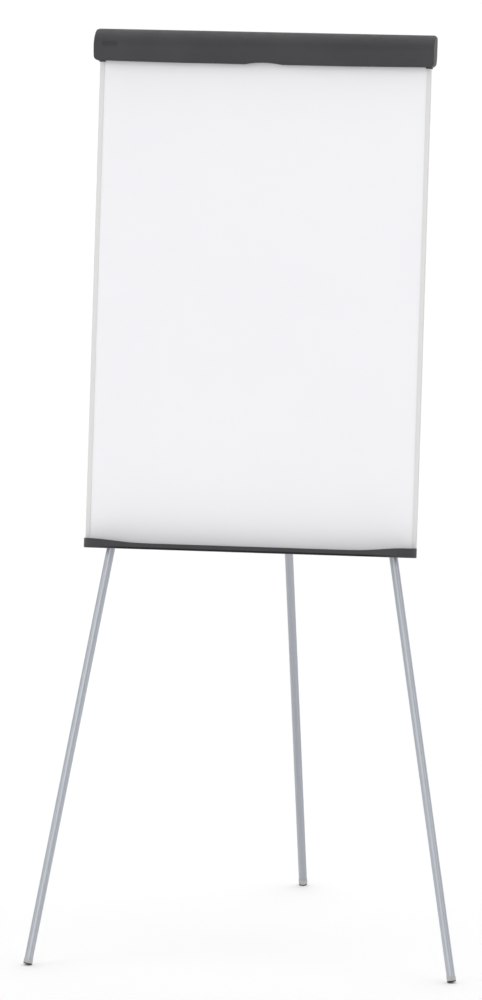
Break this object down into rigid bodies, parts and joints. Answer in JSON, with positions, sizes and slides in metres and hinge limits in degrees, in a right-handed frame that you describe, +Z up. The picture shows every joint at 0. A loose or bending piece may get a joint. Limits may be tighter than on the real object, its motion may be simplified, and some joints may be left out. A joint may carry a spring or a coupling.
{
  "type": "flipchart easel",
  "caption": "Free-standing tripod flipchart easel with a white steel board, a flip-up paper clamp across the top, a pen tray and telescopic legs.",
  "frame": {"origin": "on the floor, under the middle of the bounding box", "axes": "+X to the reader's right across the board, +Y away from the reader, +Z up"},
  "size_m": [0.917, 0.9138, 1.9489],
  "materials": {
    "white_lacquered_steel": "gloss",
    "honeycomb_core": "matte",
    "galvanised_backing": "satin",
    "light_grey_profile": "satin",
    "dark_grey_plastic": "matte",
    "black_plastic": "matte",
    "silver_painted_steel": "satin",
    "zinc_plated_steel": "satin",
    "spring_steel": "satin",
    "light_grey_plastic": "matte",
    "black_rubber": "matte"
  },
  "bodies": {
    "frame": {"writing_sheet": "white_lacquered_steel", "board_core": "honeycomb_core", "backing_sheet": "galvanised_backing", "header_rail": "dark_grey_plastic", "header_screws": "zinc_plated_steel", "hook_track": "light_grey_profile", "pen_tray": "dark_grey_plastic", "tray_screws": "zinc_plated_steel", "leg_bracket": "dark_grey_plastic", "bracket_screws": "zinc_plated_steel", "pivot_bolt": "zinc_plated_steel", "pivot_nut": "zinc_plated_steel", "pivot_washers": "zinc_plated_steel", "saddle_screws": "zinc_plated_steel", "side_profile_left": "light_grey_profile", "side_profile_right": "light_grey_profile", "hinge_pin_left": "zinc_plated_steel", "hinge_pin_right": "zinc_plated_steel", "clamp_spring_left": "spring_steel", "clamp_spring_right": "spring_steel", "saddle_left": "dark_grey_plastic", "saddle_right": "dark_grey_plastic", "upper_tube_left": "silver_painted_steel", "collar_left": "dark_grey_plastic", "lever_pin_left": "zinc_plated_steel", "upper_tube_right": "silver_painted_steel", "collar_right": "dark_grey_plastic", "lever_pin_right": "zinc_plated_steel", "tube_screws": "zinc_plated_steel"},
    "clamp_bar_unit": {"clamp_bar": "dark_grey_plastic", "clamp_strip": "black_rubber"},
    "hook_left": {"paper_hook_left": "black_plastic", "hook_peg_left": "zinc_plated_steel"},
    "hook_right": {"paper_hook_right": "black_plastic", "hook_peg_right": "zinc_plated_steel"},
    "rear_leg": {"rear_leg_head": "dark_grey_plastic", "rear_tube_screw": "zinc_plated_steel", "upper_tube_rear": "silver_painted_steel", "collar_rear": "dark_grey_plastic", "lever_pin_rear": "zinc_plated_steel"},
    "locking_lever_left": {"lever_left": "black_plastic"},
    "lower_leg_left": {"lower_tube_left": "silver_painted_steel", "guide_plug_left": "black_plastic", "foot_cap_left": "light_grey_plastic", "foot_pad_left": "black_rubber"},
    "locking_lever_right": {"lever_right": "black_plastic"},
    "lower_leg_right": {"lower_tube_right": "silver_painted_steel", "guide_plug_right": "black_plastic", "foot_cap_right": "light_grey_plastic", "foot_pad_right": "black_rubber"},
    "locking_lever_rear": {"lever_rear": "black_plastic"},
    "lower_leg_rear": {"lower_tube_rear": "silver_painted_steel", "guide_plug_rear": "black_plastic", "foot_cap_rear": "light_grey_plastic", "foot_pad_rear": "black_rubber"}
  },
  "joints": [
    {"name": "clamp_bar_hinge", "type": "hinge", "parent": "frame", "child": "clamp_bar_unit", "pos_m": [0, -0.15426, 1.93873], "axis": [-1, 0, 0], "range_deg": [0, 75], "stiffness_Nm_per_rad": 0.4, "springref_deg": -68.75, "deforming": ["clamp_spring_left", "clamp_spring_right"]},
    {"name": "hook_left_slide", "type": "slide", "parent": "frame", "child": "hook_left", "axis": [-1, 0, 0], "range_m": [-0.04, 0.04]},
    {"name": "hook_right_slide", "type": "slide", "parent": "frame", "child": "hook_right", "axis": [1, 0, 0], "range_m": [-0.04, 0.04]},
    {"name": "rear_leg_fold", "type": "hinge", "parent": "frame", "child": "rear_leg", "pos_m": [0, -0.14134, 1.88606], "axis": [-1, 0, 0], "range_deg": [0, 26.38]},
    {"name": "leg_slide_left", "type": "slide", "parent": "frame", "child": "lower_leg_left", "axis": [0.1682, 0.1542, 0.9736], "range_m": [0, 0.85]},
    {"name": "lever_turn_left", "type": "hinge", "parent": "frame", "child": "locking_lever_left", "pos_m": [-0.29147, -0.28373, 0.91356], "axis": [-0.9858, 0.0263, 0.1661], "range_deg": [0, 95]},
    {"name": "leg_slide_right", "type": "slide", "parent": "frame", "child": "lower_leg_right", "axis": [-0.1682, 0.1542, 0.9736], "range_m": [0, 0.85]},
    {"name": "lever_turn_right", "type": "hinge", "parent": "frame", "child": "locking_lever_right", "pos_m": [0.29147, -0.28373, 0.91356], "axis": [-0.9858, -0.0263, -0.1661], "range_deg": [0, 95]},
    {"name": "leg_slide_rear", "type": "slide", "parent": "rear_leg", "child": "lower_leg_rear", "axis": [0, -0.2988, 0.9543], "range_m": [0, 0.85]},
    {"name": "lever_turn_rear", "type": "hinge", "parent": "rear_leg", "child": "locking_lever_rear", "pos_m": [0, 0.18619, 0.90511], "axis": [-1, 0, 0], "range_deg": [0, 95]}
  ]
}
